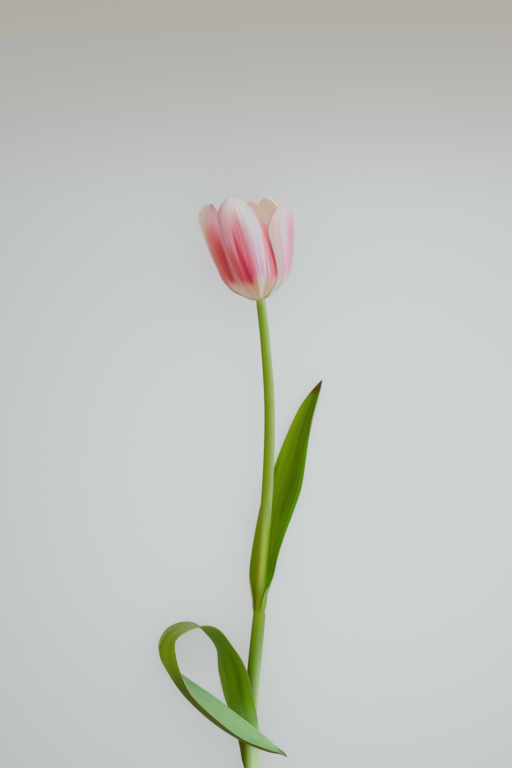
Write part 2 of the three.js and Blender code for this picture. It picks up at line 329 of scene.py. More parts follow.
colour = up_stem.rising(0.42, 0.32).over(colour, dye(98, 132, 2))
# Painted shade: the left side of the stem is darker olive.
colour = (turn.rising(-0.12, -0.4) * 0.7).over(colour, dye(98, 106, 0))
# The tone of the wax and of the painted highlight in it.
wax_and_highlight_tone = sheathed.over(dye(180, 200, 156), dye(170, 192, 100))
colour = wax.over(colour, wax_and_highlight_tone)
# A thin brown line along the stem's left limb, where the upper leaf clasps it.
brown_limb_line = sheathed * abs(turn + 0.34).rising(0.14, 0.03)
colour = (brown_limb_line * 0.7).over(colour, dye(146, 120, 14))
clasped = up_stem.rising(0.395, 0.41) * up_stem.rising(0.46, 0.43)
colour = (clasped * 0.6).over(colour, dye(112, 108, 0))
colour = (ribs.rising(0.45, 0.75) * 0.16).over(colour, dye(86, 120, 26))
colour = (up_stem.rising(0.95, 0.975) * 0.5).over(colour, dye(196, 206, 150))
relief = start.node("ShaderNodeBump", {}, {"Strength": 0.35, "Distance": 0.0002, "Height": ribs})
skin = start.node(
    "ShaderNodeBsdfPrincipled",
    {},
    {
        "Base Color": colour,
        "Roughness": 0.42 + 0.16 * mottle,
        "Specular IOR Level": 0.03,
        # Painted light: a faint glow of the skin's own colour lifts its shaded side.
        "Emission Color": colour,
        "Emission Strength": 0.08,
        "Normal": relief,
    },
)
start.node("ShaderNodeOutputMaterial", {}, {"Surface": skin})

cut_finish, start = new_finish("cut stem")[:2]
place = start.node("ShaderNodeTexCoord", {}, {}, 3)
cells = start.node("ShaderNodeTexVoronoi", {}, {"Vector": place, "Scale": 1400.0})
colour = cells.rising(0.25, 0.1).over(dye(206, 214, 158), dye(140, 158, 84))
pith = start.node(
    "ShaderNodeBsdfPrincipled",
    {},
    {"Base Color": colour, "Roughness": 0.35 + 0.2 * cells, "Specular IOR Level": 0.4},
)
start.node("ShaderNodeOutputMaterial", {}, {"Surface": pith})

flower_piece("green_stem", stem_mesh, [stem_finish, cut_finish], ["stem"])

# ---- Lower leaf ----
# A long strap of soft green leaf that clasps the stem, rises beside it, turns over in a loop to the
# left and comes back across the stem. Its tip has dried brown and its edge is a thin cream line.

# At each station: the share of the leaf's length, the middle [x, y, z], half the width, the angle that
# the inner face turns from level towards up, the half angle its sides open, and how far they curl on.
LOWER_LEAF = [
    [0, 3.6, -149.0, 9.5, 9.5, 45, 90, -130],
    [0.063, 2.2, -135.8, 11.6, 11.3, 46, 90, -110],
    [0.126, 0.1, -122.3, 12.0, 11.7, 48, 90, -80],
    [0.193, -2.6, -107.8, 12.0, 11.3, 52, 90, -42],
    [0.268, -5.1, -91.4, 12.0, 11.8, 46, 90, -15],
    [0.331, -9.9, -78.2, 12.6, 13.5, 24, 97, 0],
    [0.386, -17.3, -67.9, 13.2, 13.6, 18, 94, 0],
    [0.443, -28.8, -64.6, 13.4, 13.1, -6, 90, 0],
    [0.499, -41.1, -68.8, 13.3, 13.0, -19, 81, 0],
    [0.548, -46.5, -79.7, 13.7, 13.3, -25, 68, 0],
    [0.611, -40.7, -93.0, 13.6, 13.6, -7, 65, 0],
    [0.686, -31.2, -106.1, 14.5, 14.0, 10, 59, 0],
    [0.788, -14.6, -120.8, 17.5, 13.3, 22, 49, 0],
    [0.881, 2.6, -131.2, 20.0, 11.0, 30, 46, 0],
    [0.951, 16.9, -136.6, 21.2, 6.1, 29, 43, 0],
    [0.99, 25.6, -138.2, 21.1, 1.3, 24, 54, 0],
    [1, 27.3, -139.8, 20.8, 0.5, 30, 60, 0],
]
LEAF_THICKNESS = 0.8
LEAF_EDGE_SHARE = 0.45
# The ripple of the blade: its height, and how fast it runs along the leaf and across it.
RIPPLE_HEIGHT = 0.18
RIPPLE_RATE = 21
RIPPLE_SKEW = 1.5
# The foot: the share of the length that is drawn in, how far it drops, and how far its middle sheet
# stays off the stem's skin.
FOOT_SHARE = 0.028
FOOT_DROP = 2.5
FOOT_OFF_SKIN = 0.1
# Stands for no curl at all, because the curl is divided by.
NEARLY_FLAT = 0.000001


def leaf_point(stations, u, t):
    """A point of a leaf's middle sheet. Its foot is drawn in and down onto the stem's skin."""
    middle = middle_line(stations, t)
    onward = middle_line(stations, min(t + STEP, 1)) - middle_line(stations, max(t - STEP, 0))
    onward.normalize()
    level = Vector((-onward.y, onward.x, 0)).normalized()
    up = onward.cross(level)
    side = -1 if u < 0 else 1
    half, turned, opened, curl = [along(stations, column, t) for column in (4, 5, 6, 7)]
    begin = math.radians(turned + side * opened)
    curled = math.radians(-side * curl) or NEARLY_FLAT
    end = begin + curled * abs(u)
    point = middle + level * (half * (math.sin(end) - math.sin(begin)) / curled)
    point = point + up * (half * (math.cos(begin) - math.cos(end)) / curled)
    facing = level * math.cos(math.radians(turned)) + up * math.sin(math.radians(turned))
    ripple = RIPPLE_HEIGHT * u * u * math.sin(RIPPLE_RATE * t + RIPPLE_SKEW * u)
    ripple = ripple * eased(0.1, 0.3, t) * eased(0, 0.08, 1 - t)
    point = point + facing * ripple
    drawn_in = eased(0, FOOT_SHARE, FOOT_SHARE - t)
    q = (point.y - STEM_FOOT) / STEM_LENGTH
    centre = middle_line(STEM_STATIONS, q)
    out = point - centre
    out.y = 0
    skin = centre + out.normalized() * (along(STEM_STATIONS, 4, q) / 2 + FOOT_OFF_SKIN)
    point = point.lerp(Vector((skin.x, point.y - FOOT_DROP, skin.z)), drawn_in)
    point.z = max(point.z, LEAF_THICKNESS / 2)
    return point


def leaf_blade(name, stations, rows, finishes, node):
    """A leaf with its inner face, its outer face and its edge in their own finishes."""
    bm = new_sheet()
    lay_grid(bm, 24, rows, lambda u, t: leaf_point(stations, u, t))
    edge = [vert.index for vert in bm.verts if vert.is_boundary]
    leaf = flower_piece(name, bm, finishes, [node])
    group = leaf.vertex_groups.new(name="flesh")
    group.add(range(len(leaf.data.vertices)), 1.0, "REPLACE")
    group.add(edge, 0.0, "REPLACE")
    flesh = leaf.modifiers.new("flesh", "SOLIDIFY")
    flesh.thickness = LEAF_THICKNESS * MILLIMETRE
    flesh.offset = 0
    flesh.vertex_group = "flesh"
    flesh.thickness_vertex_group = LEAF_EDGE_SHARE
    flesh.material_offset = 1
    flesh.material_offset_rim = 2
    refined(leaf, 1)


def leaf_finish(name, deep, bright, wax_and_sheen_colour, wax_and_sheen_stops, tip_from, skirt, patches, seed):
    """Leaf skin: deep and bright green in fine streaks, wax with painted sheen by stops along the leaf, a
    dried tip.

    The skirt round the stem carries painted light and shade across it: its colours on its left, middle and
    right, the x in millimetres where they begin to change and have changed, and the places along the leaf
    where it is full and has ended. A patch has its colour and strength, its middle and half width across,
    its two ends and their softness.
    """
    finish, start, across, onward = new_finish(name)
    u = across * 2 - 1
    broad = start.streaks(u, onward, 3.0, 5.0, seed)
    fine = start.streaks(u, onward, 17.0, 3.0, seed + 1, 5.0)
    mottle = start.streaks(u, onward, 4.0, 26.0, seed + 2)
    wax_and_sheen_share = start.node("ShaderNodeValToRGB", {"stops": wax_and_sheen_stops}, {"Fac": onward})
    colour = broad.rising(0.25, 0.75).over(deep, bright)
    for hue, strength, middle, half, begin, end, soft in patches:
        body = (abs(u - middle) / half + 0.3 * (fine - 0.5)).rising(1.1, 0.3)
        place = onward + 0.04 * (mottle - 0.5)
        body = body * place.rising(begin - soft, begin + soft) * place.rising(end + soft, end - soft)
        colour = (body * strength).over(colour, hue)
    colour = (fine.rising(0.48, 0.7) * 0.4).over(colour, dye(56, 80, 0))
    colour = (fine.rising(0.5, 0.3) * 0.22).over(colour, dye(146, 172, 40))
    # Wax, with painted sheen where the stops lay it on a face turned to the light.
    colour = ((wax_and_sheen_share * (0.55 + 0.9 * mottle)).rising(0.1, 1.1)).over(colour, wax_and_sheen_colour)
    colour = (abs(u).rising(0.05, 0.0) * 0.3).over(colour, bright)
    left, middle, right, left_x, right_x, full, ended = skirt
    middle_x = (left_x + right_x) / 2
    place = start.node("ShaderNodeTexCoord", {}, {}, 3)
    x = start.node("ShaderNodeSeparateXYZ", {}, {0: place}, 0)
    # Painted light and shade on the skirt: it changes from its left colour to its right across x.
    skirt_light_and_shade = x.rising(left_x * MILLIMETRE, middle_x * MILLIMETRE).over(left, middle)
    skirt_light_and_shade = x.rising((left_x + middle_x) / 2 * MILLIMETRE, right_x * MILLIMETRE).over(skirt_light_and_shade, right)
    colour = onward.rising(ended, full).over(colour, skirt_light_and_shade)
    tip_place = onward + 0.08 * (fine - 0.5) - 0.015 * u
    dried = tip_place.rising(tip_from - 0.015, tip_from + 0.025)
    colour = dried.over(colour, fine.over(dye(54, 42, 0), dye(112, 88, 8)))
    relief = start.node("ShaderNodeBump", {}, {"Strength": 0.5, "Distance": 0.00025, "Height": fine})
    skin = start.node(
        "ShaderNodeBsdfPrincipled",
        {},
        {
            "Base Color": colour,
            "Roughness": 0.4 + 0.25 * mottle,
            "Specular IOR Level": 0.015,
            # Painted light: a faint glow of the leaf's own colour lifts its shaded parts.
            "Emission Color": colour,
            "Emission Strength": 0.1,
            "Normal": relief,
        },
    )
    start.node("ShaderNodeOutputMaterial", {}, {"Surface": skin})
    return finish


NO_WAX_OR_SHEEN = [0, 0, 0, 1]
SOME_WAX_AND_SHEEN = [0.35, 0.35, 0.35, 1]
FULL_WAX_AND_SHEEN = [1, 1, 1, 1]

lower_back = leaf_finish(
    "lower leaf back",
    dye(82, 112, 0),
    dye(92, 130, 0),
    dye(150, 186, 134),
    # Wax with painted sheen: pale from the loop's far side to the tip, where this face turns to the light, a
    # little at the foot and bare between.
    [(0, SOME_WAX_AND_SHEEN), (0.15, SOME_WAX_AND_SHEEN), (0.21, NO_WAX_OR_SHEEN), (0.5, NO_WAX_OR_SHEEN), (0.62, FULL_WAX_AND_SHEEN), (1, FULL_WAX_AND_SHEEN)],
    0.985,
    # Painted shade on the skirt's left and a painted highlight on its right.
    [dye(68, 70, 4), dye(112, 142, 6), dye(178, 201, 154), 2.0, 8.6, 0.08, 0.14],
    [
        (dye(116, 142, 22), 0.75, -1.0, 0.8, 0.17, 0.5, 0.04),
        (dye(112, 136, 16), 0.85, 0.0, 9.0, 0.385, 0.5, 0.02),
        (dye(128, 148, 56), 0.6, 0.95, 0.28, 0.38, 0.5, 0.03),
        (dye(58, 90, 0), 0.6, 0.45, 0.2, 0.19, 0.33, 0.04),
        (dye(96, 146, 0), 0.7, 0.85, 0.4, 0.1, 0.2, 0.04),
        (dye(150, 170, 70), 0.7, -1.0, 0.1, 0.12, 0.36, 0.03),
        (dye(140, 76, 30), 0.55, -0.22, 0.12, 0.355, 0.37, 0.006),
    ],
    11,
)
lower_front = leaf_finish(
    "lower leaf front",
    dye(92, 114, 6),
    dye(116, 140, 10),
    dye(146, 156, 92),
    [(0, NO_WAX_OR_SHEEN), (0.38, NO_WAX_OR_SHEEN), (0.44, FULL_WAX_AND_SHEEN), (0.52, NO_WAX_OR_SHEEN), (1, NO_WAX_OR_SHEEN)],
    0.985,
    [dye(96, 118, 4), dye(96, 118, 4), dye(96, 118, 4), 0.0, 1.0, 0.02, 0.05],
    [
        # Painted shade: dark olive from the loop to the tip, where this face turns away from the light.
        (dye(64, 76, 2), 0.92, 0.0, 9.0, 0.62, 1.1, 0.05),
        (dye(140, 162, 84), 0.6, -0.6, 0.6, 0.48, 0.58, 0.03),
        (dye(150, 160, 90), 0.7, 0.35, 0.05, 0.44, 0.5, 0.02),
    ],
    21,
)
leaf_edge, start, across, onward = new_finish("leaf edge")
frayed = start.streaks(across, onward, 9.0, 60.0, 8)
colour = frayed.over(dye(172, 182, 112), dye(142, 160, 74))
colour = onward.rising(0.93, 0.97).over(colour, dye(104, 106, 54))
colour = onward.rising(0.975, 0.99).over(colour, dye(120, 84, 34))
colour = onward.rising(0.04, 0.01).over(colour, dye(122, 158, 48))
rim = start.node(
    "ShaderNodeBsdfPrincipled",
    {},
    {
        "Base Color": colour,
        "Roughness": 0.5 + 0.2 * frayed,
        "Specular IOR Level": 0.1,
        # Painted light: the edge glows a little, so that it reads as a bright line in shade.
        "Emission Color": colour,
        "Emission Strength": 0.2,
    },
)
start.node("ShaderNodeOutputMaterial", {}, {"Surface": rim})
leaf_blade("lower_leaf", LOWER_LEAF, 150, [lower_back, lower_front, leaf_edge], "leaf_lower")

# ---- Upper leaf ----
# A shorter leaf of the same soft green, folded in a channel round the stem like a boat. It tapers to
# a tip that has dried brown, and its outer face is pale with wax.

UPPER_LEAF = [
    [0, 13.7, -55.6, 10.2, 9.2, 50, 90, 135],
    [0.038, 13.2, -49.7, 9.8, 8.9, 68, 90, 128],
    [0.08, 12.5, -43.9, 8.0, 9.4, 86, 90, 100],
    [0.13, 12.5, -37.1, 6.2, 10.2, 90, 88, 80],
    [0.224, 14.5, -24.3, 4.4, 9.2, 90, 84, 45],
    [0.327, 17.8, -10.3, 3.1, 9.6, 90, 78, 20],
    [0.431, 21.9, 3.7, 1.8, 10.6, 90, 72, 5],
    [0.537, 26.8, 17.7, 0.8, 10.6, 90, 67, 0],
    [0.64, 30.5, 31.8, 0.5, 9.2, 90, 66, 0],
    [0.744, 34.4, 45.9, 0.6, 7.3, 88, 65, 0],
    [0.85, 39.3, 60.1, 2.0, 5.5, 87, 63, 0],
    [0.923, 43.6, 69.5, 4.0, 3.5, 86, 63, 0],
    [1, 48.2, 78.8, 7.0, 0.2, 85, 70, 0],
]
upper_front = leaf_finish(
    "upper leaf front",
    dye(80, 112, 0),
    dye(96, 126, 0),
    dye(140, 164, 70),
    [(0, NO_WAX_OR_SHEEN), (1, NO_WAX_OR_SHEEN)],
    0.93,
    # Painted light on the skirt, brighter where the channel round the stem lies in shade.
    [dye(136, 152, 0), dye(130, 164, 0), dye(112, 184, 0), 8.0, 13.0, 0.07, 0.2],
    [
        # Painted light: the left wall of the channel is lighter, where it faces the light.
        (dye(120, 144, 0), 0.75, -1.0, 0.8, 0.6, 0.9, 0.08),
        (dye(116, 136, 0), 0.8, -0.8, 0.8, 0.1, 0.4, 0.05),
        # Painted shade: a darker band right of the middle, where the right wall faces away from the light.
        (dye(74, 98, 0), 0.6, 0.5, 0.5, 0.4, 0.94, 0.06),
        (dye(84, 142, 0), 0.75, 0.98, 0.32, 0.06, 0.74, 0.05),
        # Painted highlight: a pale band along the right margin, lit from the right.
        (dye(170, 194, 158), 0.9, 1.05, 0.17, 0.8, 0.97, 0.04),
        (dye(128, 128, 0), 0.5, -0.45, 0.12, 0.3, 0.5, 0.06),
    ],
    31,
)
upper_back = leaf_finish(
    "upper leaf back",
    dye(104, 140, 20),
    dye(132, 166, 40),
    dye(172, 198, 156),
    [(0, NO_WAX_OR_SHEEN), (0.15, SOME_WAX_AND_SHEEN), (0.4, FULL_WAX_AND_SHEEN), (1, FULL_WAX_AND_SHEEN)],
    0.93,
    [dye(104, 128, 2), dye(112, 142, 20), dye(126, 156, 60), 9.5, 14.5, 0.05, 0.12],
    [(dye(150, 178, 110), 0.5, 0.0, 0.2, 0.2, 0.9, 0.05)],
    41,
)
leaf_blade("upper_leaf", UPPER_LEAF, 110, [upper_front, upper_back, leaf_edge], "leaf_upper")

# ---- Petals ----
# Six smooth petals in two rings of three, thin and a little translucent, on the seat at the stem's
# top. Each is tan at its root and white or cream at its rim, with red and pink flames between.

BLOOM_FRONT = (Vector((0, 0, 1)) - BLOOM_AXIS * BLOOM_AXIS.z).normalized()
BLOOM_RIGHT = BLOOM_AXIS.cross(BLOOM_FRONT)
BLOOM_RADIUS = 26.9
BLOOM_HEIGHT = 60
RIM_BEND_FROM = 46
RIM_BEND = 3.6
RIM_BEND_OVER = 16
BELLY = 0.7
BELLY_OVER = 24
WAIST = 0.9
WAIST_OVER = 8
PETAL_THICKNESS = 0.8
PETAL_EDGE_SHARE = 0.35
PETAL_ROOT_RADIUS = 2.7
PETAL_TIP_WIDTH = 0.03
FULL_WIDTH_FROM = 0.8
MIDRIB_DEPTH = 0.35
MIDRIB_WIDTH = 0.16
MARGIN_WAVE = 0.3
ROW_CROWDING = 1.6
BEAK_FROM = 0.988


def in_bloom(height, radius, angle):
    """A point at a height along the bloom's axis, a radius from it and an angle round it."""
    sideways = BLOOM_RIGHT * (radius * math.sin(angle)) + BLOOM_FRONT * (radius * math.cos(angle))
    return BLOOM_FOOT + BLOOM_AXIS * height + sideways


def petal_point(petal, u, t):
    """A point of a petal's middle sheet: u across it, t from its root to its tip."""
    root_share = 2 / math.pi * math.asin(PETAL_ROOT_RADIUS / BLOOM_RADIUS)
    row = 1 - (1 - t) ** ROW_CROWDING
    v = root_share + (1 - root_share) * row
    middle = petal["root_angle"] + (petal["angle"] - petal["root_angle"]) * row
    root_half, full_half, shoulder, swell = petal["left"] if u < 0 else petal["right"]
    past = min(max(0, (row - shoulder) / (1 - shoulder)), 1)
    narrowed = (1 - past ** petal["bulge"]) ** petal["blunt"]
    widest = root_half + (full_half - root_half) * min(1, row / FULL_WIDTH_FROM)
    width = PETAL_TIP_WIDTH + (1 - PETAL_TIP_WIDTH) * narrowed
    half = (widest + swell * math.sin(math.pi * row) ** 2) * width
    height = petal["height"] * v * v
    v = math.sqrt(height / BLOOM_HEIGHT)
    bend = max(0, (height - RIM_BEND_FROM) / RIM_BEND_OVER)
    height = height + petal["beak"] * max(0, (row - BEAK_FROM) / (1 - BEAK_FROM)) ** 2
    belly = BELLY * math.sin(math.pi * min(height / BELLY_OVER, 1)) ** 2
    waist = WAIST * math.sin(math.pi * min(height / WAIST_OVER, 1)) ** 2
    radius = BLOOM_RADIUS * math.sin(v * math.pi / 2) + belly - waist - RIM_BEND * bend * bend
    outward = 2 * BLOOM_HEIGHT * v
    down = BLOOM_RADIUS * (math.pi / 2) * max(0, math.cos(v * math.pi / 2))
    slope = math.hypot(outward, down)
    groove = -MIDRIB_DEPTH * math.exp(-(u / MIDRIB_WIDTH) ** 2) * math.sin(math.pi * row)
    wave = MARGIN_WAVE * u * u * row * math.sin(math.pi * petal["waves"] * row + petal["phase"])
    flare = petal["flare"] * u * u * row ** 6 if u < 0 else 0
    ring = petal["root_ring"] + (petal["ring"] - petal["root_ring"]) * eased(0, 0.3, row)
    hug = petal["hug"][0 if u < 0 else 1] * u ** 8 * eased(0.05, 0.2, row)
    layer = ring + groove + wave + flare - hug
    angle = math.radians(middle + u * half)
    point = in_bloom(height - layer * down / slope, radius + layer * outward / slope, angle)
    point.z = max(point.z, PETAL_THICKNESS / 2)
    return point


def petal_finish(name, ground, flames, glow, seed):
    """Petal skin: the ground's colours from root to tip, with flames laid over it.

    A flame has its colour, its strength, where it starts and ends (u, row), half its width at both,
    and how softly it starts and ends. The glow is painted light: a steady glow of the petal's own colour that
    stands in for light coming through from behind.
    """
    finish, start, across, onward = new_finish(name)
    u = across * 2 - 1
    row = 1 - (1 - onward) ** ROW_CROWDING
    veins = start.streaks(u, row, 13.0, 1.2, seed, 5.0)
    feather = start.streaks(u, row, 9.0, 1.2, seed + 1, 4.0)
    cloud = start.streaks(u, row, 2.0, 3.0, seed + 2)
    ragged = row + 0.16 * (feather - 0.5) + 0.08 * (veins - 0.5)
    colour = start.node("ShaderNodeValToRGB", {"stops": ground}, {"Fac": ragged})
    for hue, strength, foot, head, half_foot, half_head, soft_foot, soft_head in flames:
        share = (ragged - foot[1]) / (head[1] - foot[1])
        centre = foot[0] + (head[0] - foot[0]) * share
        half = half_foot + (half_head - half_foot) * share
        body = (abs(u - centre) / half + 0.35 * (feather - 0.5)).rising(1.05, 0.15)
        ends = ragged.rising(foot[1] - soft_foot, foot[1] + soft_foot)
        ends = ends * ragged.rising(head[1] + soft_head, head[1] - soft_head)
        colour = (body * ends * strength).over(colour, hue)
    colour = (veins.rising(0.5, 0.75) * 0.28).over(colour, dye(168, 96, 106))
    colour = (veins.rising(0.5, 0.28) * 0.26).over(colour, dye(224, 218, 214))
    relief = start.node("ShaderNodeBump", {}, {"Strength": 0.4, "Distance": 0.0002, "Height": veins})
    skin = start.node(
        "ShaderNodeBsdfPrincipled",
        {},
        {
            "Base Color": colour,
            "Roughness": 0.5 + 0.15 * cloud,
            "Specular IOR Level": 0.3,
            "Subsurface Weight": 0.7,
            "Subsurface Radius": [0.0032, 0.002, 0.0017],
            "Subsurface Scale": 1.0,
            # Painted light: the glow, a steady emission in the petal's own colour.
            "Emission Color": colour,
            "Emission Strength": glow,
            "Normal": relief,
        },
    )
    start.node("ShaderNodeOutputMaterial", {}, {"Surface": skin})
    return finish


